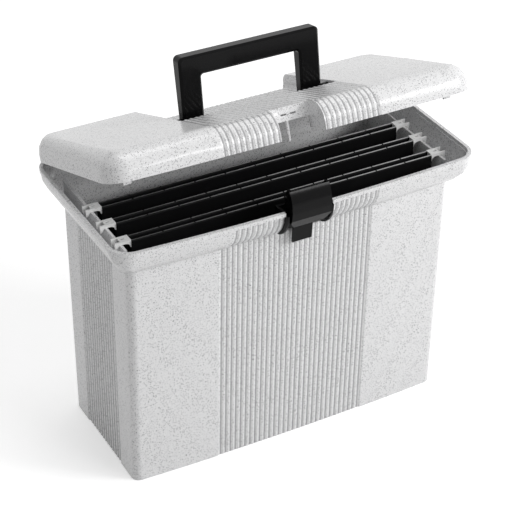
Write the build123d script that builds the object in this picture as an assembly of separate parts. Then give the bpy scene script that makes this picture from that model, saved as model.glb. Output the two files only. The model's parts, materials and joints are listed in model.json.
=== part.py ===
from build123d import *
import math
import os

os.makedirs("parts", exist_ok=True)

# The origin is the centre of the tub's underside, X runs along the long side and the front is at -Y.
# Millimetres. Everything on the lid is drawn with the lid shut and then swung up to LID_OPEN.

# Tub body
BODY_HALF_LENGTH = 159.2
BASE_HALF_DEPTH = 65.5
TOP_HALF_DEPTH = 69.3
BODY_HEIGHT = 229.8
BASE_BOW = 4.1
TOP_BOW = 5.4
BODY_CORNER = 7.8
WALL = 3.3
FLOOR = 3.5

# Flared collar and lip round the mouth
FLARE_HEIGHT = 27.7
FLARE_REACH = 17.2
LIP_HEIGHT = 3.3
LIP_STEP = 1.0
LIP_CORNER = 20.0

# Vertical flutes
FLUTE_PITCH = 5.05
FLUTE_RADIUS = 4.5
FLUTE_DEPTH = 1.25
FRONT_FLUTES = 30
END_FLUTES = 14

# Rails that the folder hooks hang on
RAIL_THICKNESS = 2.4
RAIL_RISE = 18.4
RAIL_END_INSET = 5.8
RAIL_SET_IN = 0.2

# Lid
LID_GAP = 0.2
LID_WALL = 2.8
LID_RISE = 24.0
LID_FALL = 2.4
LID_END_INSET = 2.0
LID_ROLL = 17.0
LID_FLUTE_DEPTH = 1.1
ROLL_STEPS = 4
LID_OPEN = 20.3
RECESS_MARGIN = 1.25
RECESS_FRONT = -13.0
RECESS_DEPTH = 15.0
RECESS_ROLL = 8.5
RECESS_EDGE_ROLL = 6.0
STOP_INSET = 23.1
STOP_Y = -71.5
STOP_WIDTH = 7.0
STOP_THICKNESS = 2.0
STOP_DROP = 5.7

# Hinge at the back: two stations of three knuckles on one steel pin each
HINGE_END_INSET = 67.4
HINGE_OUTSET = 1.2
KNUCKLE_RADIUS = 3.4
KNUCKLE_SPACE = 0.6
LID_KNUCKLE = 14.0
TUB_KNUCKLE = 8.0
KNUCKLE_END_GAP = 0.3
HINGE_PIN_RADIUS = 1.6
RUNNING = 0.05

# Carrying handle
HANDLE_HALF_WIDTH = 68.2
HANDLE_LEG = 20.4
HANDLE_GRIP = 18.4
HANDLE_HEIGHT = 58.9
HANDLE_TOP_THICKNESS = 13.8
HANDLE_FOOT_THICKNESS = 11.0
HANDLE_LEAN = 10.2
HANDLE_PIVOT_Y = -0.7
HANDLE_PIVOT_DROP = 6.5
HANDLE_CORNER = 4.5
HANDLE_INNER_CORNER = 3.0
HANDLE_BEVEL = 2.0
TRUNNION_RADIUS = 3.5

# Latch
LEVER_HALF_WIDTH = 19.2
LEVER_SCALE = 1.0
LEVER_CORNER_WIDTH = 5.5
LEVER_CORNER_DROP = 8.0
LEVER_WALL = 2.2
LEVER_CLOSE = 24.0
LEVER_HUB_RADIUS = 3.2
LEVER_HUB_STAND = 1.0
THUMB_HALF_WIDTH = 9.5
SIDE_PLAY = 0.25
BRACKET_WALL = 2.3
BRACKET_TOP_DROP = 2.8
BRACKET_STANDOFF = 3.7
BRACKET_REACH = 22.0
NOTCH_RISE = 2.5
NOTCH_DEPTH = 15.0
LATCH_PIVOT_OUTSET = 0.5
LATCH_PIVOT_DROP = 10.8
LATCH_PIN_RADIUS = 1.5
DETENT_RADIUS = 1.5
DETENT_RISE = 1.5
DETENT_PLAY = 0.3
DETENT_SPOT = (2.2, 22.0)

# Pocket in the lid's front that the lever swings into
POCKET_SIDE_PLAY = 0.8
POCKET_FLARE = 1.4
POCKET_DEPTH = 19.0
POCKET_WALL_RISE = 10.6
WINDOW_X = 4.45
WINDOW_WIDTH = 5.7
WINDOW_HEIGHT = 1.5
WINDOW_RISE = 16.3
RIB_X = -1.9
RIB_WIDTH = 2.0
RIB_DROP = 7.0

# Hanging folders: rod lines of the front and back leaf, front folder first
FOLDERS = {"front": -50.15, "middle": -20.3, "rear": 8.55}
ROD_HALF_SPACING = 3.75
SHEET_END_GAP = 10.4
SHEET_THICKNESS = 0.5
SHEET_FLOOR_GAP = 10.5
LOOP_RADIUS = 1.4
FLAP_LENGTH = 24.0
FOLD_BELOW_HOOK_TOP = 0.7
ROD_THICKNESS = 0.8
ROD_DEPTH = 4.0
HOOK_TOP_ABOVE_RAIL = 2.9
HOOK_REST_GAP = 0.2
HOOK_LENGTH = 14.8
HOOK_PLATE = 1.4
HOOK_DEPTH = 6.8
HOOK_CATCH_DEPTH = 5.8
HOOK_FLANGE = 9.6
HOOK_FLANGE_THICKNESS = 1.0
SOCKET_DEPTH = 12.0
SOCKET_WIDTH = 2.0
ROD_END_GAP = 2.8

# Worked out from the sizes above
FLARE_RADIUS = (FLARE_REACH**2 + FLARE_HEIGHT**2) / (2 * FLARE_REACH)
LIP_BASE = BODY_HEIGHT + FLARE_HEIGHT
RIM_TOP = LIP_BASE + LIP_HEIGHT
RIM_HALF_LENGTH = BODY_HALF_LENGTH + FLARE_REACH + LIP_STEP
RIM_HALF_DEPTH = TOP_HALF_DEPTH + FLARE_REACH + LIP_STEP
RAIL_TOP = BODY_HEIGHT + RAIL_RISE
SEAM = RIM_TOP + LID_GAP
HINGE_STATION = RIM_HALF_LENGTH - HINGE_END_INSET
LID_TOP = SEAM + LID_RISE
LID_HALF_LENGTH = RIM_HALF_LENGTH - LID_END_INSET
LID_SLOPE = math.atan(LID_FALL / (2 * (RIM_HALF_DEPTH - LID_ROLL)))
RECESS_FLOOR = LID_TOP - RECESS_DEPTH
RECESS_HALF_WIDTH = FRONT_FLUTES * FLUTE_PITCH / 2 + RECESS_MARGIN
HINGE_Y = RIM_HALF_DEPTH + HINGE_OUTSET
HINGE_Z = SEAM
HINGE_AXIS = Axis((0, HINGE_Y, HINGE_Z), (1, 0, 0))
HANDLE_PIVOT_Z = LID_TOP - HANDLE_PIVOT_DROP
HUB_REACH = LEVER_HALF_WIDTH + LEVER_HUB_STAND
NOTCH_HALF_WIDTH = HUB_REACH + BRACKET_WALL + 2 * SIDE_PLAY
NOTCH_FLOOR = BODY_HEIGHT + NOTCH_RISE
BRACKET_BACK_Y = -TOP_HALF_DEPTH - BRACKET_STANDOFF
BRACKET_TOP = RIM_TOP - BRACKET_TOP_DROP
LATCH_PIVOT_Y = -RIM_HALF_DEPTH - LATCH_PIVOT_OUTSET
LATCH_PIVOT_Z = RIM_TOP - LATCH_PIVOT_DROP
POCKET_BACK_HALF_WIDTH = LEVER_HALF_WIDTH + POCKET_SIDE_PLAY
POCKET_FRONT_HALF_WIDTH = POCKET_BACK_HALF_WIDTH + POCKET_FLARE
POCKET_BACK_Y = -RIM_HALF_DEPTH + POCKET_DEPTH
SHEET_HALF_LENGTH = BODY_HALF_LENGTH - SHEET_END_GAP
SHEET_FLOOR = FLOOR + SHEET_FLOOR_GAP
HOOK_TOP = RAIL_TOP + HOOK_REST_GAP + HOOK_TOP_ABOVE_RAIL


def save(shape, node):
    """Write one node, with its solids loose."""
    export_step(Compound(children=list(shape.solids())), f"parts/{node}.step")


def section(half_length, half_depth, bow, corner, height):
    """Rounded rectangle at a height: straight ends and back, front bowed outwards."""
    front_left = (-half_length, -half_depth)
    front_right = (half_length, -half_depth)
    sides = Polyline(front_right, (half_length, half_depth), (-half_length, half_depth), front_left)
    front = ThreePointArc(front_left, (0, -half_depth - bow), front_right)
    face = make_face(sides + front)
    return Pos(0, 0, height) * fillet(face.vertices(), corner)


def front_line(x, half_length, half_depth, bow):
    """Y of the bowed front at x."""
    radius = (half_length**2 + bow**2) / (2 * bow)
    return -half_depth - bow + radius - math.sqrt(radius**2 - x**2)


def flute_places(count):
    """Centre lines of a band of flutes."""
    return [(index - (count - 1) / 2) * FLUTE_PITCH for index in range(count)]


def front_flutes(half_length, half_depth, bow, count):
    """Centres of the flutes in a bowed front."""
    out = FLUTE_RADIUS - FLUTE_DEPTH
    return [(x, front_line(x, half_length, half_depth, bow) - out) for x in flute_places(count)]


def other_flutes(half_length, half_depth):
    """Centres of the flutes in the back and the ends of the body."""
    out = FLUTE_RADIUS - FLUTE_DEPTH
    centres = [(x, half_depth + out) for x in flute_places(FRONT_FLUTES)]
    for side in (-1, 1):
        centres += [(side * (half_length + out), y) for y in flute_places(END_FLUTES)]
    return centres


def fluted(plain, centres, height):
    """A section with shallow round flutes cut into its outline."""
    return plain - [Pos(x, y, height) * Circle(FLUTE_RADIUS) for x, y in centres]


def body_section(half_depth, bow, height):
    """Fluted section of the straight body."""
    plain = section(BODY_HALF_LENGTH, half_depth, bow, BODY_CORNER, height)
    front = front_flutes(BODY_HALF_LENGTH, half_depth, bow, FRONT_FLUTES)
    return fluted(plain, front + other_flutes(BODY_HALF_LENGTH, half_depth), height)


def flare_offset(height, radius):
    """How far an arc of the flare stands out from the body at a height."""
    return FLARE_REACH - FLARE_RADIUS + math.sqrt(radius**2 - (LIP_BASE - height) ** 2)


def flare_section(height, radius, with_flutes):
    """Section through the outside or the inside of the flare."""
    offset = flare_offset(height, radius)
    share = (height - BODY_HEIGHT) / FLARE_HEIGHT
    corner = BODY_CORNER + share * (LIP_CORNER - LIP_STEP - BODY_CORNER) + radius - FLARE_RADIUS
    half_length = BODY_HALF_LENGTH + offset
    half_depth = TOP_HALF_DEPTH + offset
    plain = section(half_length, half_depth, TOP_BOW, corner, height)
    if not with_flutes:
        return plain
    return fluted(plain, front_flutes(half_length, half_depth, TOP_BOW, FRONT_FLUTES - 2), height)


def flare_levels(radius):
    """Heights of the sections, evenly spaced round the arc."""
    lowest = max(-FLARE_HEIGHT, -math.sqrt(radius**2 - (FLARE_RADIUS - FLARE_REACH - WALL) ** 2))
    start = math.asin(lowest / radius)
    steps = 4
    return [LIP_BASE + radius * math.sin(start * (1 - step / steps)) for step in range(steps + 1)]


def tub_outside():
    """Fluted body, flare with a fluted front, and plain lip."""
    base = body_section(BASE_HALF_DEPTH, BASE_BOW, 0)
    top = body_section(TOP_HALF_DEPTH, TOP_BOW, BODY_HEIGHT)
    body = loft([base, top], ruled=True)
    sections = [flare_section(z, FLARE_RADIUS, True) for z in flare_levels(FLARE_RADIUS)]
    flare = loft(sections, ruled=True)
    rim = section(RIM_HALF_LENGTH, RIM_HALF_DEPTH, TOP_BOW, LIP_CORNER, LIP_BASE)
    return body + flare + extrude(rim, LIP_HEIGHT)


def tub_inside():
    """The hollow of the tub: straight below, flaring above, with a step under the lip."""
    inner = FLARE_RADIUS - WALL
    levels = flare_levels(inner)
    share = levels[0] / BODY_HEIGHT
    depth_there = BASE_HALF_DEPTH + share * (TOP_HALF_DEPTH - BASE_HALF_DEPTH)
    low = section(BODY_HALF_LENGTH - WALL, BASE_HALF_DEPTH - WALL, BASE_BOW, BODY_CORNER - WALL, FLOOR)
    high = section(BODY_HALF_LENGTH - WALL, depth_there - WALL, TOP_BOW, BODY_CORNER - WALL, levels[0])
    flare = loft([flare_section(z, inner, False) for z in levels], ruled=True)
    rim = section(
        RIM_HALF_LENGTH - WALL, RIM_HALF_DEPTH - WALL, TOP_BOW, LIP_CORNER - WALL, LIP_BASE
    )
    return loft([low, high], ruled=True) + flare + extrude(rim, LIP_HEIGHT + 1)


def mirrored(shape):
    """A shape and its twin across the middle of the long side."""
    return shape + mirror(shape, Plane.YZ)


def bar_x(half_length, radius, y, z, x=0.0):
    """Round bar along X, centred at x."""
    return Pos(x, y, z) * Rot(0, 90, 0) * Cylinder(radius, 2 * half_length)


def prism_x(outline, x_low, x_high):
    """A closed outline given as (y, z) points or edges, extruded along X."""
    return Pos(x_low, 0, 0) * extrude(Plane.YZ * make_face(outline), x_high - x_low)


def hinge_stations():
    """X of the two hinge stations."""
    return (-HINGE_STATION, HINGE_STATION)


def tub_knuckle_places():
    """X of the four knuckles moulded on the tub."""
    reach = LID_KNUCKLE / 2 + KNUCKLE_END_GAP + TUB_KNUCKLE / 2
    return [station + side * reach for station in hinge_stations() for side in (-1, 1)]


def knuckle(x, length, below):
    """Round knuckle with the block that ties it to the lip below or the lid above."""
    foot = HINGE_Y - HINGE_OUTSET - WALL / 2
    side = -1 if below else 1
    block = Pos(x, (foot + HINGE_Y) / 2, HINGE_Z + side * KNUCKLE_RADIUS / 2)
    return bar_x(length / 2, KNUCKLE_RADIUS, HINGE_Y, HINGE_Z, x) + block * Box(
        length, HINGE_Y - foot, KNUCKLE_RADIUS
    )


def hinge_bores():
    """The holes for both hinge pins."""
    half = LID_KNUCKLE / 2 + TUB_KNUCKLE + 1
    return [bar_x(half, HINGE_PIN_RADIUS + RUNNING, HINGE_Y, HINGE_Z, x) for x in hinge_stations()]


def knuckle_clearance(places, length):
    """Round cuts that keep one half of the hinge clear of the other half's knuckles."""
    half = length / 2 + KNUCKLE_END_GAP
    return [bar_x(half, KNUCKLE_RADIUS + KNUCKLE_SPACE, HINGE_Y, HINGE_Z, x) for x in places]


def rail():
    """The right end wall carried up as a free rib for the folder hooks."""
    height = RAIL_TOP - BODY_HEIGHT
    half_length = TOP_HALF_DEPTH - RAIL_END_INSET
    x = BODY_HALF_LENGTH - RAIL_THICKNESS / 2 - RAIL_SET_IN
    return Pos(x, 0, BODY_HEIGHT + height / 2) * Box(RAIL_THICKNESS, 2 * half_length, height)


def latch_notch():
    """The gap cut through the lip and the flare for the latch bracket."""
    inside = -TOP_HALF_DEPTH + NOTCH_DEPTH
    outside = -RIM_HALF_DEPTH - TOP_BOW - 1
    height = RIM_TOP + 1 - NOTCH_FLOOR
    return Pos(0, outside, NOTCH_FLOOR) * Box(
        2 * NOTCH_HALF_WIDTH, inside - outside, height, align=(Align.CENTER, Align.MIN, Align.MIN)
    )


def tub():
    """One moulding: body, flare, lip, rails and the tub's half of the hinge."""
    shell = tub_outside() - tub_inside() - latch_notch()
    shell = shell + mirrored(rail())
    shell = shell - knuckle_clearance(hinge_stations(), LID_KNUCKLE)
    shell = shell + [knuckle(x, TUB_KNUCKLE, True) for x in tub_knuckle_places()]
    return shell - hinge_bores()


def lid_top_at(y):
    """Height of the lid's top, which falls a little from the front to the back."""
    return LID_TOP - math.tan(LID_SLOPE) * (y + RIM_HALF_DEPTH - LID_ROLL)


def lid_levels(inset):
    """Inset and height of the sections that step round the roll, from its foot to the top."""
    roll = LID_ROLL - inset
    turns = [math.pi / 2 * step / ROLL_STEPS for step in range(ROLL_STEPS + 1)]
    return [(roll * (1 - math.cos(turn)), LID_TOP - LID_ROLL + roll * math.sin(turn)) for turn in turns]


def lid_section(inset, height, with_flutes):
    """Section of the lid's outline, drawn in by an inset."""
    half_length = LID_HALF_LENGTH - inset
    half_depth = RIM_HALF_DEPTH - inset
    plain = section(half_length, half_depth, TOP_BOW, LIP_CORNER - inset, height)
    if not with_flutes:
        return plain
    shift = FLUTE_DEPTH - LID_FLUTE_DEPTH
    places = front_flutes(RIM_HALF_LENGTH, half_depth + shift, TOP_BOW, FRONT_FLUTES)
    return fluted(plain, places, height)


def lid_block(inset, low, with_flutes):
    """Solid pillow of the lid's outline, inset by a wall, with rolled edges and a falling top."""
    levels = [(0, low)] + lid_levels(inset)
    block = loft([lid_section(inset + more, z, with_flutes) for more, z in levels], ruled=True)
    top = Plane((0, 0, lid_top_at(0) - inset), x_dir=(1, 0, 0), z_dir=(0, math.sin(LID_SLOPE), 1))
    return split(block, top, keep=Keep.BOTTOM)


def recess(grow):
    """The space cut from the back of the lid for the folded handle, grown by a wall."""
    front = RECESS_FRONT - grow
    floor = RECESS_FLOOR - grow
    back = RIM_HALF_DEPTH - grow
    roll = RECESS_ROLL
    above = LID_TOP + 5
    beyond = RIM_HALF_DEPTH + 10
    bottom = floor - roll
    middle = (back - roll + roll * math.sin(math.pi / 4), floor - roll + roll * math.cos(math.pi / 4))
    outline = (
        Polyline((back, bottom), (beyond, bottom), (beyond, above), (front, above), (front, floor))
        + Line((front, floor), (back - roll, floor))
        + ThreePointArc((back - roll, floor), middle, (back, bottom))
    )
    half_width = RECESS_HALF_WIDTH + grow
    return prism_x(outline, -half_width, half_width)


def recess_edge():
    """The waste over the rounded front edge of the recess."""
    roll = RECESS_EDGE_ROLL
    top = lid_top_at(RECESS_FRONT - roll)
    low = (RECESS_FRONT, top - roll)
    start = (RECESS_FRONT - roll, top)
    middle = (
        RECESS_FRONT - roll * (1 - math.sin(math.pi / 4)),
        top - roll * (1 - math.cos(math.pi / 4)),
    )
    above = LID_TOP + 1
    outline = ThreePointArc(start, middle, low) + Polyline(
        low, (RECESS_FRONT + 1, low[1]), (RECESS_FRONT + 1, above), (start[0], above), start
    )
    return prism_x(outline, -RECESS_HALF_WIDTH, RECESS_HALF_WIDTH)


def pocket(grow, low):
    """The space in the lid's front that the latch lever stands in, grown by a wall."""
    front_y = -RIM_HALF_DEPTH - TOP_BOW - 2
    front = POCKET_FRONT_HALF_WIDTH + grow
    back = POCKET_BACK_HALF_WIDTH + grow
    back_y = POCKET_BACK_Y + grow
    outline = Polyline(
        (-front, front_y), (front, front_y), (back, back_y), (-back, back_y), (-front, front_y)
    )
    return Pos(0, 0, low) * extrude(make_face(outline), LID_TOP + 2 - low)


def flute_cutter(x, start, end, height):
    """Straight round cutter from front to back between two places, at heights given by a function."""
    out = FLUTE_RADIUS - LID_FLUTE_DEPTH
    first = Vector(x, start, height(start) + out)
    last = Vector(x, end, height(end) + out)
    return extrude(Plane(first, z_dir=last - first) * Circle(FLUTE_RADIUS), (last - first).length)


def lid_flute_cutters():
    """Cutters along the top, in line with the fluted front, and along the recess floor."""
    cutters = []
    for x in flute_places(FRONT_FLUTES):
        crest = front_line(x, RIM_HALF_LENGTH, RIM_HALF_DEPTH, TOP_BOW) + LID_ROLL
        cutters.append(flute_cutter(x, crest, RECESS_FRONT + 1, lid_top_at))
        floor_start = RECESS_FRONT + RECESS_EDGE_ROLL
        cutters.append(flute_cutter(x, floor_start, RIM_HALF_DEPTH + 1, lambda y: RECESS_FLOOR))
    return cutters


def lid_shut():
    """The lid as moulded, in its shut place."""
    solid = lid_block(0, SEAM, True) - recess(0) - recess_edge() - pocket(0, SEAM - 1)
    hollow = lid_block(LID_WALL, SEAM - 1, False) - recess(LID_WALL) - pocket(LID_WALL, SEAM - 2)
    shell = solid - lid_flute_cutters() - hollow - trunnion_bores()
    shell = finished_pocket(shell) + mirrored(stop_blade())
    shell = shell - knuckle_clearance(tub_knuckle_places(), TUB_KNUCKLE)
    shell = shell + [knuckle(x, LID_KNUCKLE, False) for x in hinge_stations()]
    return shell - hinge_bores()


def trunnion_bores():
    """Holes in the walls beside the recess for the handle's trunnions."""
    middle = RECESS_HALF_WIDTH + LID_WALL / 2
    radius = TRUNNION_RADIUS + RUNNING
    return [bar_x(LID_WALL, radius, HANDLE_PIVOT_Y, HANDLE_PIVOT_Z, side * middle) for side in (-1, 1)]


def detent_place():
    """Y and z of a detent with the lever drawn shut."""
    turn = math.radians(LEVER_CLOSE)
    y, z = DETENT_SPOT
    return near_pivot(y * math.cos(turn) + z * math.sin(turn), z * math.cos(turn) - y * math.sin(turn))


def finished_pocket(shell):
    """Cut the pocket's back wall short, and give it windows, a rib and two detent dimples."""
    foot = SEAM + POCKET_WALL_RISE
    back = POCKET_BACK_Y + LID_WALL / 2
    below = Pos(0, back, foot) * Box(
        2 * POCKET_BACK_HALF_WIDTH, LID_WALL + 1, foot, align=(Align.CENTER, Align.CENTER, Align.MAX)
    )
    window = Pos(WINDOW_X, back, SEAM + WINDOW_RISE) * Box(WINDOW_WIDTH, LID_WALL + 1, WINDOW_HEIGHT)
    reach = LEVER_HALF_WIDTH + DETENT_RISE + DETENT_PLAY
    dimples = bar_x(reach, DETENT_RADIUS + DETENT_PLAY, *detent_place())
    rib_height = POCKET_WALL_RISE + RIB_DROP + 1
    rib = Box(RIB_WIDTH, LID_WALL - 0.6, rib_height, align=(Align.CENTER, Align.CENTER, Align.MIN))
    return shell - below - mirrored(window) - dimples + Pos(RIB_X, back, SEAM - RIB_DROP) * rib


def stop_blade():
    """Blade under the lid's roof that drops inside the mouth and keeps the lid from shifting."""
    x = RIM_HALF_LENGTH - STOP_INSET
    low = SEAM - STOP_DROP
    height = lid_top_at(STOP_Y) - LID_WALL / 2 - low
    return Pos(x, STOP_Y, low) * Box(
        STOP_WIDTH, STOP_THICKNESS, height, align=(Align.CENTER, Align.CENTER, Align.MIN)
    )


def opened(shape):
    """Swing something drawn on the shut lid up to the open pose."""
    return shape.rotate(HINGE_AXIS, -LID_OPEN)


def handle():
    """Flat bail with bevelled edges, tapering to round feet that carry the trunnions."""
    foot = HANDLE_FOOT_THICKNESS / 2
    head = HANDLE_TOP_THICKNESS / 2
    inner = HANDLE_HALF_WIDTH - HANDLE_LEG
    under = HANDLE_HEIGHT - HANDLE_GRIP
    outer_face = Rectangle(2 * HANDLE_HALF_WIDTH, HANDLE_HEIGHT + foot)
    outer_face = fillet(outer_face.vertices().group_by(Axis.Y)[-1], HANDLE_CORNER)
    outer_face = Pos(0, (HANDLE_HEIGHT - foot) / 2) * outer_face
    inner_face = Rectangle(2 * inner, under + foot + 10)
    inner_face = fillet(inner_face.vertices().group_by(Axis.Y)[-1], HANDLE_INNER_CORNER)
    inner_face = Pos(0, under - (under + foot + 10) / 2) * inner_face
    bail = extrude(Plane.XZ * (outer_face - inner_face), 2 * head, both=True)
    side = Polyline((foot, 0), (head, HANDLE_HEIGHT), (-head, HANDLE_HEIGHT), (-foot, 0))
    side = make_face(side + ThreePointArc((-foot, 0), (0, -foot), (foot, 0)))
    bail = bail & extrude(Plane.YZ * side, 2 * HANDLE_HALF_WIDTH, both=True)
    flats = bail.faces().sort_by(Axis.Y)
    rims = flats[0].edges() + flats[-1].edges()
    rims = [edge for edge in rims if edge.center().Z > 1]
    bail = chamfer(rims, HANDLE_BEVEL)
    reach = RECESS_HALF_WIDTH + LID_WALL - SIDE_PLAY
    start = HANDLE_HALF_WIDTH - 2
    trunnion = bar_x((reach - start) / 2, TRUNNION_RADIUS, 0, 0, (reach + start) / 2)
    bail = bail + mirrored(trunnion)
    return Pos(0, HANDLE_PIVOT_Y, HANDLE_PIVOT_Z) * Rot(HANDLE_LEAN, 0, 0) * bail


def hinge_pin(x):
    """Steel pin of one hinge station."""
    half = LID_KNUCKLE / 2 + TUB_KNUCKLE
    return bar_x(half, HINGE_PIN_RADIUS, HINGE_Y, HINGE_Z, x)


def near_pivot(y, z):
    """A point of the lever's drawing, given from the latch pivot."""
    return (LATCH_PIVOT_Y + LEVER_SCALE * y, LATCH_PIVOT_Z + LEVER_SCALE * z)


def latch_bracket():
    """Black U that stands in the notch and carries the latch pin."""
    outer = NOTCH_HALF_WIDTH - SIDE_PLAY
    front = BRACKET_BACK_Y - BRACKET_REACH
    low = NOTCH_FLOOR
    high = BRACKET_TOP
    tip = (BRACKET_BACK_Y - 6.2, low)
    shoulder = (front, high - 3)
    bulge = (front + 4.2, high - 16)
    outline = (
        Polyline(shoulder, (front, high), (BRACKET_BACK_Y, high), (BRACKET_BACK_Y, low), tip)
        + ThreePointArc(tip, bulge, shoulder)
    )
    side = prism_x(outline, outer - BRACKET_WALL, outer)
    back = Pos(0, BRACKET_BACK_Y, low) * Box(
        2 * outer, BRACKET_WALL, high - low, align=(Align.CENTER, Align.MAX, Align.MIN)
    )
    pin_hole = bar_x(outer + 1, LATCH_PIN_RADIUS + RUNNING, LATCH_PIVOT_Y, LATCH_PIVOT_Z)
    return back + mirrored(side) - pin_hole


def latch_pin():
    """Steel pin through the bracket and the lever."""
    return bar_x(NOTCH_HALF_WIDTH - SIDE_PLAY, LATCH_PIN_RADIUS, LATCH_PIVOT_Y, LATCH_PIVOT_Z)


def lever_front():
    """Outer curve of the lever, from its top edge down to its lower edge."""
    top = near_pivot(-3.4, 29.7)
    bulge = near_pivot(-9.3, 9.7)
    curve = ThreePointArc(top, near_pivot(-8.0, 20.3), bulge)
    return curve + Polyline(bulge, near_pivot(-8.5, 2.9), near_pivot(-3.5, -6.4))


def lever_plate():
    """Curved front plate with its straight lower facet."""
    top = near_pivot(-1.4, 29.2)
    bulge = near_pivot(-7.1, 9.7)
    inside = (
        Line(near_pivot(-3.4, 29.7), top)
        + ThreePointArc(top, near_pivot(-5.8, 19.7), bulge)
        + Polyline(bulge, near_pivot(-6.3, 3.4), near_pivot(-1.6, -5.2), near_pivot(-3.5, -6.4))
    )
    return prism_x(lever_front() + inside, -LEVER_HALF_WIDTH, LEVER_HALF_WIDTH)


def lever_cheek():
    """Crescent side wall of the lever with the hub round the pin."""
    peak = near_pivot(0.9, 30.3)
    waist = near_pivot(2.4, 6.0)
    back = (
        Line(near_pivot(-3.4, 29.7), peak)
        + ThreePointArc(peak, near_pivot(3.7, 19.8), waist)
        + Polyline(waist, near_pivot(3.0, -2.0), near_pivot(-1.0, -5.0), near_pivot(-3.5, -6.4))
    )
    cheek = prism_x(lever_front() + back, LEVER_HALF_WIDTH - LEVER_WALL, LEVER_HALF_WIDTH)
    start = LEVER_HALF_WIDTH - LEVER_WALL
    hub_half = (HUB_REACH - start) / 2
    hub = bar_x(hub_half, LEVER_HUB_RADIUS, LATCH_PIVOT_Y, LATCH_PIVOT_Z, start + hub_half)
    detent_half = DETENT_RISE / 2
    detent = bar_x(detent_half, DETENT_RADIUS, *near_pivot(*DETENT_SPOT), LEVER_HALF_WIDTH + detent_half)
    return cheek + hub + detent


def thumb_tab():
    """Tab set back under the lever that is pressed to let go."""
    outline = Polyline(
        near_pivot(-3.2, -6.2),
        near_pivot(-1.6, -3.6),
        near_pivot(6.9, -3.6),
        near_pivot(8.8, -28.8),
        near_pivot(6.7, -28.8),
        near_pivot(4.8, -6.0),
        near_pivot(-3.2, -6.2),
    )
    return prism_x(outline, -THUMB_HALF_WIDTH, THUMB_HALF_WIDTH)


def lower_corner_cut():
    """Slanted cut at a lower corner of the lever's facet."""
    low = LATCH_PIVOT_Z - LEVER_CORNER_DROP
    outline = Polyline(
        (LEVER_HALF_WIDTH + 1, LATCH_PIVOT_Z + 1.5),
        (LEVER_HALF_WIDTH + 1, low),
        (LEVER_HALF_WIDTH - LEVER_CORNER_WIDTH, low),
        (LEVER_HALF_WIDTH + 1, LATCH_PIVOT_Z + 1.5),
    )
    front = LATCH_PIVOT_Y - 3.3
    return Pos(0, front, 0) * extrude(Plane.XZ * make_face(outline), 10)


def latch_lever():
    """Black lever: plate, two cheeks with hubs and detents, and the thumb tab."""
    lever = lever_plate() + mirrored(lever_cheek()) + thumb_tab()
    lever = lever - mirrored(lower_corner_cut())
    return lever - bar_x(NOTCH_HALF_WIDTH, LATCH_PIN_RADIUS + RUNNING, LATCH_PIVOT_Y, LATCH_PIVOT_Z)


def loop_height():
    """Height of the middle of the fold over a folder's rod."""
    return HOOK_TOP - FOLD_BELOW_HOOK_TOP - LOOP_RADIUS - SHEET_THICKNESS / 2


def folded_leaf():
    """Section of the back leaf: card up the outside, over the rod and glued down inside."""
    half = SHEET_THICKNESS / 2
    top = loop_height()
    low = SHEET_FLOOR
    outer = ROD_HALF_SPACING + LOOP_RADIUS
    inner = ROD_HALF_SPACING - LOOP_RADIUS
    doubled = outer - 1.5 * SHEET_THICKNESS
    bend = top - ROD_DEPTH - 2
    joint = bend - 8
    crown = top + LOOP_RADIUS
    outline = (
        Polyline((outer - half, top - FLAP_LENGTH), (outer - half, low), (outer + half, low))
        + Line((outer + half, low), (outer + half, top))
        + ThreePointArc((outer + half, top), (ROD_HALF_SPACING, crown + half), (inner - half, top))
        + Polyline((inner - half, top), (inner - half, bend), (doubled - half, joint))
        + Polyline((doubled - half, joint), (doubled - half, top - FLAP_LENGTH))
        + Line((doubled - half, top - FLAP_LENGTH), (outer - half, top - FLAP_LENGTH))
    )
    fold = (
        ThreePointArc((outer - half, top), (ROD_HALF_SPACING, crown - half), (inner + half, top))
        + Polyline((inner + half, top), (inner + half, bend), (outer - half, joint))
        + Line((outer - half, joint), (outer - half, top))
    )
    return make_face(outline) - make_face(fold)


def folder_sheet(middle):
    """One card sheet: two leaves hanging from the rods, folded over them, with a flat folded floor."""
    outer = ROD_HALF_SPACING + LOOP_RADIUS
    half = SHEET_THICKNESS / 2
    floor_y = outer + half
    floor = Pos(0, SHEET_FLOOR + half) * Rectangle(2 * floor_y, SHEET_THICKNESS)
    leaf = folded_leaf()
    sheet = extrude(Plane.YZ * (leaf + mirror(leaf, Plane.YZ) + floor), SHEET_HALF_LENGTH, both=True)
    return Pos(0, middle, 0) * sheet


def rod_half_length():
    """Half the length of a rod, which ends a little inside the card."""
    return SHEET_HALF_LENGTH - ROD_END_GAP


def folder_rod(y):
    """Flat steel strip in the fold of one leaf."""
    return Pos(0, y, loop_height() - ROD_DEPTH / 2) * Box(2 * rod_half_length(), ROD_THICKNESS, ROD_DEPTH)


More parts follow.
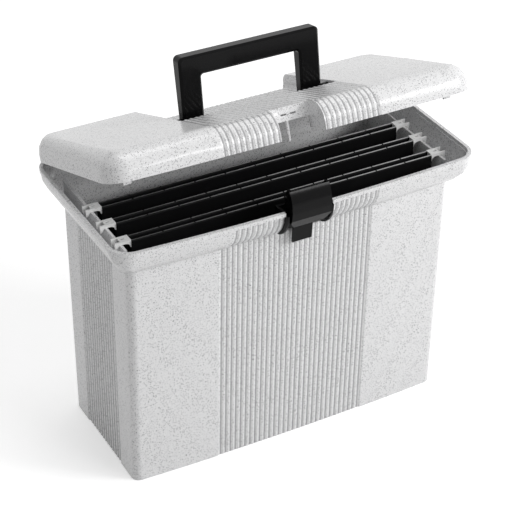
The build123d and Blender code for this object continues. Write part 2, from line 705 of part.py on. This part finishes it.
def folder_hook(y, partner):
    """White plastic end of a rod: socket, hook plate and the flange towards its partner."""
    inner = SHEET_HALF_LENGTH
    outer = inner + HOOK_LENGTH
    seat = RAIL_TOP + HOOK_REST_GAP
    prong = BODY_HALF_LENGTH + 0.3
    low = HOOK_TOP - HOOK_DEPTH
    catch = HOOK_TOP - HOOK_CATCH_DEPTH
    arch = inner + 5.6
    outline = (
        Polyline((arch, seat), (prong, seat), (outer - 1.4, low), (outer - 0.4, low), (outer, HOOK_TOP))
        + Polyline((outer, HOOK_TOP), (inner, HOOK_TOP), (inner, catch), (inner + 0.7, catch))
        + ThreePointArc((inner + 0.7, catch), (inner + 2.4, seat - 0.9), (arch, seat))
    )
    plate = Pos(0, y + HOOK_PLATE / 2, 0) * extrude(Plane.XZ * make_face(outline), HOOK_PLATE)
    reach = ROD_HALF_SPACING - 0.15
    flange = Pos(inner, y + partner * reach / 2, HOOK_TOP) * Box(
        HOOK_FLANGE, reach, HOOK_FLANGE_THICKNESS, align=(Align.MIN, Align.CENTER, Align.MAX)
    )
    window = Pos(inner + 6.4, y + partner * reach, HOOK_TOP) * Box(3.4, 1.0, 3 * HOOK_FLANGE_THICKNESS)
    start = inner - SOCKET_DEPTH
    socket = Pos(start, y, loop_height() + 0.5) * Box(
        inner + 0.8 - start, SOCKET_WIDTH, ROD_DEPTH + 1, align=(Align.MIN, Align.CENTER, Align.MAX)
    )
    return plate + flange - window + socket


def folder_hooks(y, partner):
    """Both hooks of one rod, hollow for the rod's ends."""
    pair = mirrored(folder_hook(y, partner))
    half = rod_half_length() + RUNNING
    slot = Box(2 * half, ROD_THICKNESS + 2 * RUNNING, ROD_DEPTH + 2 * RUNNING)
    return pair - Pos(0, y, loop_height() - ROD_DEPTH / 2) * slot


save(tub(), "tub")
save(opened(lid_shut()), "lid")
save(opened(handle()), "handle")
save(hinge_pin(-HINGE_STATION), "left_hinge_pin")
save(hinge_pin(HINGE_STATION), "right_hinge_pin")
save(latch_bracket(), "latch_bracket")
save(latch_lever(), "latch_lever")
save(latch_pin(), "latch_pin")
for name, place in FOLDERS.items():
    save(folder_sheet(place), f"{name}_folder_sheet")
    for leaf, side in (("front", -1), ("back", 1)):
        rod_y = place + side * ROD_HALF_SPACING
        save(folder_rod(rod_y), f"{name}_folder_{leaf}_rod")
        save(folder_hooks(rod_y, -side), f"{name}_folder_{leaf}_hooks")
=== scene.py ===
"""Portable file box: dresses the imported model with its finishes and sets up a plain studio."""

import bmesh
import bpy
import json
import math
import numpy as np
from mathutils import Matrix, Vector

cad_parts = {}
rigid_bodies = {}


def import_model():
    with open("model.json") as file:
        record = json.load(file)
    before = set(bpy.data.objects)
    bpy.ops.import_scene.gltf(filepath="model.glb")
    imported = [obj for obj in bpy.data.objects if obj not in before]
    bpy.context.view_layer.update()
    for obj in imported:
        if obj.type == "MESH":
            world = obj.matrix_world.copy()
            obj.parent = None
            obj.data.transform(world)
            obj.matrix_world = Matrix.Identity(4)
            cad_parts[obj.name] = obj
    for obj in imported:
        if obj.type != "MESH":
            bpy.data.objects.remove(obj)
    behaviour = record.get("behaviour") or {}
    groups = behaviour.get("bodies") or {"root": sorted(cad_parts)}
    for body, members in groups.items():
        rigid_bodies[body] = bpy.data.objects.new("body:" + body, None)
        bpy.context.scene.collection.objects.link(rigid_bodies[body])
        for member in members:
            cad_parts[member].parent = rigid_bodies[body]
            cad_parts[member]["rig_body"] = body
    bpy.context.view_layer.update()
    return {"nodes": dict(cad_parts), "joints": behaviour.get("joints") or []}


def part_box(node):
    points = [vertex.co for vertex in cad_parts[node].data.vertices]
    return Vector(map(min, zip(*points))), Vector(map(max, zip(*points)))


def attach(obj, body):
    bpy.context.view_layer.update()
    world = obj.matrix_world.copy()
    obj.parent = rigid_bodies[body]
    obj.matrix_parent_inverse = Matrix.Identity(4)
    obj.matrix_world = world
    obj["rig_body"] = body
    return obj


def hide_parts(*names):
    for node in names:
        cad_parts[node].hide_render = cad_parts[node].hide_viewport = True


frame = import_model()


# ---------------------------------------------------------------------------
# Tub. One moulding in pale grey plastic filled with fine dark grains, with a band of reeds up each side.
# The mould is lightly polished, so the plastic shines at a low angle.
class Wire:
    """One shader output. Sums, products and differences of wires add Math nodes."""

    def __init__(self, tree, socket):
        self.tree = tree
        self.socket = socket

    def twin(self, output):
        """Another output of the node that this wire comes from."""
        return Wire(self.tree, self.socket.node.outputs[output])

    def math(self, operation, *values):
        """A Math node on this wire and the given wires or numbers."""
        terms = dict(enumerate((self, *values)))
        return add_node(self.tree, "ShaderNodeMath", {"operation": operation}, 0, terms)

    def __add__(self, other):
        return self.math("ADD", other)

    def __mul__(self, other):
        return self.math("MULTIPLY", other)

    def __sub__(self, other):
        return self.math("SUBTRACT", other)

    def __rsub__(self, other):
        return (self * -1.0) + other

    __radd__ = __add__
    __rmul__ = __mul__

    def step(self, low, high):
        """Smooth step: 0 below low, 1 above high. A falling step has low above high."""
        rising = low < high
        sockets = {
            "Value": self,
            "From Min": min(low, high),
            "From Max": max(low, high),
            "To Min": 0.0 if rising else 1.0,
            "To Max": 1.0 if rising else 0.0,
        }
        smooth = {"interpolation_type": "SMOOTHSTEP"}
        return add_node(self.tree, "ShaderNodeMapRange", smooth, "Result", sockets)

    def span(self, low, high):
        """This wire's 0 to 1 spread evenly from low to high."""
        return self * (high - low) + low


def join(tree, slot, value):
    """Link a wire to a socket, or set the socket to a plain value."""
    if isinstance(value, Wire):
        tree.links.new(value.socket, slot)
    else:
        slot.default_value = value


def add_node(tree, kind, settings, output, sockets):
    """Add a node, set its settings, then its sockets by name or number, and return one output as a wire."""
    made = tree.nodes.new(kind)
    for name, value in settings.items():
        setattr(made, name, value)
    for key, value in sockets.items():
        join(tree, made.inputs[key], value)
    return Wire(tree, made.outputs[output])


def grey(light, blue=0.0):
    """Opaque grey of a lightness, with a little more or less blue."""
    return (light, light, light + blue, 1.0)


class Finish:
    """A material under construction around one Principled shader."""

    def __init__(self, name, constants):
        self.material = bpy.data.materials.new(name)
        self.material.use_nodes = True
        self.tree = self.material.node_tree
        self.shader = self.tree.nodes["Principled BSDF"]
        self.place = self.node("ShaderNodeTexCoord", {}, "Object", {})
        for socket, value in constants.items():
            self.feed(socket, value)

    def node(self, kind, settings, output, sockets):
        """Add a node to this material."""
        return add_node(self.tree, kind, settings, output, sockets)

    def noise(self, grain, detail, output="Fac", place=None):
        """Noise whose features are about grain metres across."""
        sockets = {"Vector": place or self.place, "Scale": 1.0 / grain, "Detail": detail}
        return self.node("ShaderNodeTexNoise", {}, output, sockets)

    def mix(self, share, first, second):
        """Colour that goes from first to second as share goes from 0 to 1.
        The Mix node's sockets 6 and 7 and output 2 are the ones for colours."""
        return self.node("ShaderNodeMix", {"data_type": "RGBA"}, 2, {0: share, 6: first, 7: second})

    def feed(self, socket, value):
        """Drive one socket of the Principled shader."""
        join(self.tree, self.shader.inputs[socket], value)

    def relief(self, height, distance, strength):
        """Send a height pattern to the normal; distance is its depth in metres."""
        sockets = {"Height": height, "Distance": distance, "Strength": strength}
        self.feed("Normal", self.node("ShaderNodeBump", {}, "Normal", sockets))


PLASTIC_IOR = 1.49
CLOUD_GRAIN = 0.0010
CLOUD_DARK = grey(0.62, 0.01)
CLOUD_PALE = grey(1.0)
GRAIN_BEND = 0.0006
GRAIN_CUT = 0.01
GRAIN_INSIDE = 0.12
GRAIN_OUTSIDE = -0.03
FINE_GREY = grey(0.20, 0.01)
FINE_STRENGTH = 0.55
COARSE_GREY = grey(0.10, 0.01)
COARSE_STRENGTH = 0.75
# Colour and strength of the painted shade along the reeds' valleys.
VALLEY_SHADE_GREY = grey(0.22, 0.01)
VALLEY_SHADE_STRENGTH = 0.72
REED_PITCH = 0.00505
FRONT_REEDS_END = 30 * REED_PITCH / 2
END_REEDS_END = 14 * REED_PITCH / 2
VALLEY_EDGE = 0.26
VALLEY_CORE = 0.04


def speckled_plastic():
    """Pale plastic with dark grains: random cells with darkened round cores.
    Painted shade darkens a line along each reed's valley, where the distance from it in pitches is small."""
    finish = Finish("speckled_plastic", {"IOR": PLASTIC_IOR})
    waver = finish.noise(GRAIN_BEND, detail=1.0, output="Color")
    shift = {0: waver, 1: (GRAIN_BEND, GRAIN_BEND, GRAIN_BEND), 2: finish.place}
    bent = finish.node("ShaderNodeVectorMath", {"operation": "MULTIPLY_ADD"}, "Vector", shift)

    def grains(cell, share, smallest, largest):
        """Mask of grains: share of the cells hold one, of a radius between two parts of a cell."""
        cells = finish.node("ShaderNodeTexVoronoi", {}, "Distance", {"Vector": bent, "Scale": 1.0 / cell})
        dice = finish.node("ShaderNodeSeparateColor", {}, "Red", {"Color": cells.twin("Color")})
        held = dice.step(share + GRAIN_CUT, share)
        radius = dice.twin("Green").span(smallest, largest) * held
        return (radius - cells).step(GRAIN_OUTSIDE, GRAIN_INSIDE)

    fine = grains(cell=0.0013, share=0.75, smallest=0.22, largest=0.52)
    coarse = grains(cell=0.0024, share=0.20, smallest=0.12, largest=0.30)
    pale = finish.mix(finish.noise(CLOUD_GRAIN, detail=3.0), CLOUD_DARK, CLOUD_PALE)
    dusted = finish.mix(fine * FINE_STRENGTH, pale, FINE_GREY)
    speckled = finish.mix(coarse * COARSE_STRENGTH, dusted, COARSE_GREY)
    x = finish.node("ShaderNodeSeparateXYZ", {}, "X", {"Vector": finish.place})

    def valleys(place, attribute):
        """Mask of the lines along the valleys, on the faces that an attribute marks."""
        marked = finish.node("ShaderNodeAttribute", {"attribute_name": attribute}, "Fac", {})
        from_valley = ((place * (1.0 / REED_PITCH)).math("FRACT") - 0.5).math("ABSOLUTE")
        return from_valley.step(VALLEY_EDGE, VALLEY_CORE) * marked

    # Painted shade: a darker line down each reed's valley, standing in for the shade in the hollows of the
    # reeds.
    valley_shade = valleys(x, "front_reeds") + valleys(x.twin("Y"), "end_reeds")
    finish.feed("Base Color", finish.mix(valley_shade * VALLEY_SHADE_STRENGTH, speckled, VALLEY_SHADE_GREY))
    finish.feed("Roughness", finish.noise(grain=0.004, detail=3.0).span(0.18, 0.26))
    finish.relief(finish.noise(grain=0.0011, detail=2.0), distance=0.00004, strength=0.35)
    return finish.material


TURN_KEPT_SMOOTH = math.radians(24.0)
WELD = 2e-6
CREASE_REACH = 0.0001
EDGE_STEPS = 2
FLAT_FACE_WEIGHT = 60


def dressed(name, finish, edge_round=0.0, creases=()):
    """Show a node by a welded copy: smooth over curved strips, sharp or slightly rounded at real edges.
    A crease is a height round which the edges stay sharp although they turn little."""
    node = frame["nodes"][name]
    mesh = node.data.copy()
    mesh.name = name + "_skin"
    weld = bmesh.new()
    weld.from_mesh(mesh)
    bmesh.ops.remove_doubles(weld, verts=weld.verts, dist=WELD)
    weld.to_mesh(mesh)
    weld.free()
    mesh.shade_smooth()
    mesh.set_sharp_from_angle(angle=TURN_KEPT_SMOOTH)
    places = np.empty(len(mesh.vertices) * 3, np.float32)
    mesh.vertices.foreach_get("co", places)
    ends = np.empty(len(mesh.edges) * 2, np.int32)
    mesh.edges.foreach_get("vertices", ends)
    heights = places[2::3][ends].reshape(-1, 2)
    sharp = np.zeros(len(mesh.edges), bool)
    mesh.attributes["sharp_edge"].data.foreach_get("value", sharp)
    for crease in creases:
        sharp |= (np.abs(heights - crease) < CREASE_REACH).all(axis=1)
    mesh.attributes["sharp_edge"].data.foreach_set("value", sharp)
    mesh.materials.clear()
    mesh.materials.append(finish)
    skin = bpy.data.objects.new(name + "_skin", mesh)
    bpy.context.collection.objects.link(skin)
    if edge_round:
        bevel = skin.modifiers.new("edge_round", "BEVEL")
        bevel.width = edge_round
        bevel.segments = EDGE_STEPS
        bevel.limit_method = "ANGLE"
        bevel.angle_limit = TURN_KEPT_SMOOTH
    weighted = skin.modifiers.new("flat_faces_lead", "WEIGHTED_NORMAL")
    weighted.keep_sharp = True
    weighted.weight = FLAT_FACE_WEIGHT
    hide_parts(name)
    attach(skin, node["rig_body"])
    return skin


def face_places(skin):
    """Middles and outward normals of a mesh's faces, as two arrays."""
    count = len(skin.data.polygons)
    middles = np.empty(count * 3, np.float32)
    normals = np.empty(count * 3, np.float32)
    skin.data.polygons.foreach_get("center", middles)
    skin.data.polygons.foreach_get("normal", normals)
    return middles.reshape(-1, 3), normals.reshape(-1, 3)


def mark_reeds(skin, front_faces, end_faces):
    """Face attributes that tell the finish where reeds run up the front or back, and where up the ends."""
    for name, chosen in (("front_reeds", front_faces), ("end_reeds", end_faces)):
        mark = skin.data.attributes.new(name, "FLOAT", "FACE")
        mark.data.foreach_set("value", chosen.astype(np.float32))


BODY_CREASE_Z = 0.2298
LIP_CREASE_Z = 0.2575
FACES_OUT = 0.2
SHELL_Y = 0.05
END_FACES_OUT = 0.03
SPECKLED = speckled_plastic()
tub = dressed("tub", SPECKLED, creases=(BODY_CREASE_Z, LIP_CREASE_Z))
middle, normal = face_places(tub)
between = np.abs(middle[:, 0]) < FRONT_REEDS_END
on_front = between & (normal[:, 1] < -FACES_OUT) & (middle[:, 1] < -SHELL_Y) & (middle[:, 2] < LIP_CREASE_Z)
on_back = between & (normal[:, 1] > FACES_OUT) & (middle[:, 1] > SHELL_Y) & (middle[:, 2] < BODY_CREASE_Z)
on_ends = (np.abs(middle[:, 1]) < END_REEDS_END) & (normal[:, 0] * middle[:, 0] > END_FACES_OUT)
mark_reeds(tub, on_front | on_back, on_ends & (middle[:, 2] < BODY_CREASE_Z))


# ---------------------------------------------------------------------------
# Lid. The tub's plastic again, reeded over its front and crest, and smooth in the latch pocket.
# It rests part-open, so its faces are sorted by where they point when it is shut.
POCKET_HALF_WIDTH = 0.0216
POCKET_BACK_Y = -0.066

lid = dressed("lid", SPECKLED)
middle, normal = face_places(lid)
hinge = next(joint for joint in frame["joints"] if joint["name"] == "lid_hinge")
turn = math.radians(-hinge["range_deg"][0])
hinge_y, hinge_z = hinge["pos_m"][1:]
shut_y = hinge_y + math.cos(turn) * (middle[:, 1] - hinge_y) - math.sin(turn) * (middle[:, 2] - hinge_z)
up = math.sin(turn) * normal[:, 1] + math.cos(turn) * normal[:, 2]
forward = math.sin(turn) * normal[:, 2] - math.cos(turn) * normal[:, 1]
in_pocket = (np.abs(middle[:, 0]) < POCKET_HALF_WIDTH) & (shut_y < POCKET_BACK_Y)
outside = (up > FACES_OUT) | (forward > FACES_OUT)
on_lid = (np.abs(middle[:, 0]) < FRONT_REEDS_END) & outside & ~in_pocket
mark_reeds(lid, on_lid, np.zeros(len(up), bool))


# ---------------------------------------------------------------------------
# Handle, latch lever and bracket. Separate mouldings in a smooth, fairly glossy black plastic.
# Their edges have the small round that a mould leaves.
HANDLE_EDGE_ROUND = 0.0005
LATCH_EDGE_ROUND = 0.0003
BLACK_DEEP = grey(0.0015, 0.0002)
BLACK_PALE = grey(0.004, 0.0002)


def black_plastic():
    """Near-black plastic: faint mottling in colour and gloss, and a slight orange peel."""
    finish = Finish("black_plastic", {"IOR": PLASTIC_IOR, "Specular IOR Level": 0.12})
    finish.feed("Base Color", finish.mix(finish.noise(grain=0.006, detail=3.0), BLACK_DEEP, BLACK_PALE))
    finish.feed("Roughness", finish.noise(grain=0.003, detail=4.0).span(0.12, 0.20))
    finish.relief(finish.noise(grain=0.0016, detail=2.0), distance=0.00002, strength=0.3)
    return finish.material


BLACK = black_plastic()
dressed("handle", BLACK, HANDLE_EDGE_ROUND)
dressed("latch_lever", BLACK, LATCH_EDGE_ROUND)
dressed("latch_bracket", BLACK, LATCH_EDGE_ROUND)


# ---------------------------------------------------------------------------
# Pins and folder rods. Drawn steel, with fine lines along its length.
# The pins carry the lid and the lever, and the rods lie in the folds of the folders.
STREAK_STRETCH = 40.0
STEEL_DARK = grey(0.42, 0.01)
STEEL_PALE = grey(0.60, 0.01)


def drawn_steel():
    """Grey metal streaked along X by stretched noise."""
    finish = Finish("drawn_steel", {"Metallic": 1.0})
    squeeze = {"Vector": finish.place, "Scale": (1.0 / STREAK_STRETCH, 1.0, 1.0)}
    stretched = finish.node("ShaderNodeMapping", {}, "Vector", squeeze)
    lines = finish.noise(grain=0.0003, detail=3.0, place=stretched)
    finish.feed("Base Color", finish.mix(lines, STEEL_DARK, STEEL_PALE))
    finish.feed("Roughness", lines.span(0.25, 0.45))
    return finish.material


STEEL = drawn_steel()
for name in frame["nodes"]:
    if name.endswith("pin") or name.endswith("rod"):
        dressed(name, STEEL)


# ---------------------------------------------------------------------------
# Folder hooks. White plastic mouldings with faint clouding.
# One is pushed on each end of a rod, and hangs the folder on the tub's rails.
WHITE_DARK = grey(0.88, -0.01)
WHITE_PALE = grey(0.94, -0.005)


def white_plastic():
    """White plastic whose clouds change its colour and its gloss together."""
    finish = Finish("white_plastic", {"IOR": PLASTIC_IOR})
    cloud = finish.noise(grain=0.003, detail=2.0)
    finish.feed("Base Color", finish.mix(cloud, WHITE_DARK, WHITE_PALE))
    finish.feed("Roughness", cloud.span(0.30, 0.40))
    return finish.material


WHITE = white_plastic()
for name in frame["nodes"]:
    if name.endswith("hooks"):
        dressed(name, WHITE)


# ---------------------------------------------------------------------------
# Folder sheets. Matt black card, folded over the rods and glued to itself inside.
# A painted highlight makes the tops of the folds pale, more so to the right, between the slots for tabs.
TAB_SLOT_PITCH = 0.030
SLOT_EDGE = 0.06
SLOT_CORE = 0.04
FOLD_TOP_Z = max(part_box(name)[1].z for name in frame["nodes"] if name.endswith("sheet"))
FOLD_SHINE_STARTS = 0.00022
FOLD_SHINE_FULL = 0.00008
SHINE_DIM_X = -0.15
SHINE_BRIGHT_X = 0.15
FIBRE_SHARE = 0.6
FIBRE_DARK = grey(0.002, 0.0002)
FIBRE_PALE = grey(0.008, 0.0005)


def black_card():
    """Card with fine fibres in colour and relief. Within the highlight's depth of the top of the fold it is
    painted pale as a highlight, apart from a dark slot at every pitch."""
    finish = Finish("black_card", {"IOR": 1.45, "Specular IOR Level": 0.08})
    fibre = finish.noise(grain=0.0007, detail=4.0)
    patch = finish.noise(grain=0.02, detail=3.0)
    tone = finish.mix(fibre * FIBRE_SHARE + patch * (1.0 - FIBRE_SHARE), FIBRE_DARK, FIBRE_PALE)
    x = finish.node("ShaderNodeSeparateXYZ", {}, "X", {"Vector": finish.place})
    slot = (x * (1.0 / TAB_SLOT_PITCH)).math("FRACT").step(SLOT_EDGE, SLOT_CORE)
    # Painted highlight: the tops of the folds are painted pale, brighter to the right, where the folds
    # would catch the light.
    near_top = x.twin("Z").step(FOLD_TOP_Z - FOLD_SHINE_STARTS, FOLD_TOP_Z - FOLD_SHINE_FULL)
    fold = near_top * (1.0 - slot) * fibre.span(0.3, 1.4)
    painted_highlight = finish.mix(x.step(SHINE_DIM_X, SHINE_BRIGHT_X), grey(0.10), grey(0.75))
    finish.feed("Base Color", finish.mix(fold.math("MINIMUM", 1.0), tone, painted_highlight))
    finish.feed("Roughness", fibre.span(0.45, 0.65))
    finish.relief(fibre, distance=0.00005, strength=0.4)
    return finish.material


CARD = black_card()
for name in frame["nodes"]:
    if name.endswith("sheet"):
        dressed(name, CARD)


# ---------------------------------------------------------------------------
# Studio. A pale floor and a white world, both brighter to the camera and in reflections than as lamps.
# Three soft lamps light the box, and a long lens looks down at it from the front left.
FLOOR_EDGE = 3.0
FLOOR_SHADE = 0.72
FLOOR_GLOW = 0.35
WORLD_GIVEN = 0.39
WORLD_SEEN = 1.0


def seen_or_mirrored(tree):
    """1 for a ray from the camera or off a glossy surface, and 0 for any other ray."""
    camera_ray = add_node(tree, "ShaderNodeLightPath", {}, "Is Camera Ray", {})
    return camera_ray.math("MAXIMUM", camera_ray.twin("Is Glossy Ray"))


paper = Finish("floor_paper", {"Roughness": 0.9, "Emission Strength": FLOOR_GLOW})
bright = seen_or_mirrored(paper.tree)
paper.feed("Base Color", paper.mix(bright, grey(FLOOR_SHADE), grey(1.0)))
paper.feed("Emission Color", paper.mix(bright, grey(0.0), grey(1.0)))
corners = [(x, y, 0.0) for x, y in ((-1, -1), (1, -1), (1, 1), (-1, 1))]
floor_mesh = bpy.data.meshes.new("floor")
floor_mesh.from_pydata([Vector(corner) * FLOOR_EDGE for corner in corners], [], [(0, 1, 2, 3)])
floor_mesh.materials.append(paper.material)
floor = bpy.data.objects.new("floor", floor_mesh)
bpy.context.collection.objects.link(floor)

world = bpy.data.worlds.new("studio")
bpy.context.scene.world = world
world.use_nodes = True
sky = world.node_tree.nodes["Background"]
sky.inputs["Color"].default_value = grey(1.0)
strength = seen_or_mirrored(world.node_tree).span(WORLD_GIVEN, WORLD_SEEN)
join(world.node_tree, sky.inputs["Strength"], strength)


def soft_lamp(name, place, aim, width, height, power):
    """Oblong area lamp at a place, turned to face a point."""
    light = bpy.data.lights.new(name, "AREA")
    light.shape = "RECTANGLE"
    light.size = width
    light.size_y = height
    light.energy = power
    lamp = bpy.data.objects.new(name, light)
    lamp.location = place
    lamp.rotation_euler = (Vector(aim) - Vector(place)).to_track_quat("-Z", "Y").to_euler()
    bpy.context.collection.objects.link(lamp)


soft_lamp("key", place=(1.8, -1.45, 1.3), aim=(0.0, 0.0, 0.15), width=0.8, height=0.8, power=29.0)
soft_lamp("strip", place=(0.89, -1.80, 1.40), aim=(0.0, 0.0, 0.25), width=0.9, height=0.22, power=8.0)
soft_lamp("top", place=(0.15, 0.35, 2.2), aim=(0.0, 0.0, 0.15), width=1.0, height=1.0, power=10.0)

AIM = Vector((-0.00016, 0.0, 0.15667))
AZIMUTH = 0.50617
ELEVATION = 0.58615
ROLL = 0.0086
DISTANCE = 1.57956
FOCAL_PIXELS = 1723.8
FRAME_PIXELS = 512

side, ahead, rise = math.sin(AZIMUTH), math.cos(AZIMUTH), math.sin(ELEVATION)
backward = Vector((-side * math.cos(ELEVATION), -ahead * math.cos(ELEVATION), rise))
level = Vector((ahead, -side, 0.0))
upward = backward.cross(level)
rightward = level * math.cos(ROLL) + upward * math.sin(ROLL)
upright = upward * math.cos(ROLL) - level * math.sin(ROLL)

lens = bpy.data.cameras.new("camera")
lens.sensor_width = 36.0
lens.lens = FOCAL_PIXELS / FRAME_PIXELS * lens.sensor_width
lens.clip_start = 0.05
lens.clip_end = 20.0
camera = bpy.data.objects.new("camera", lens)
camera.matrix_world = Matrix((rightward, upright, backward)).transposed().to_4x4()
camera.location = AIM + backward * DISTANCE
bpy.context.collection.objects.link(camera)
bpy.context.scene.camera = camera
bpy.context.scene.view_settings.view_transform = "Standard"
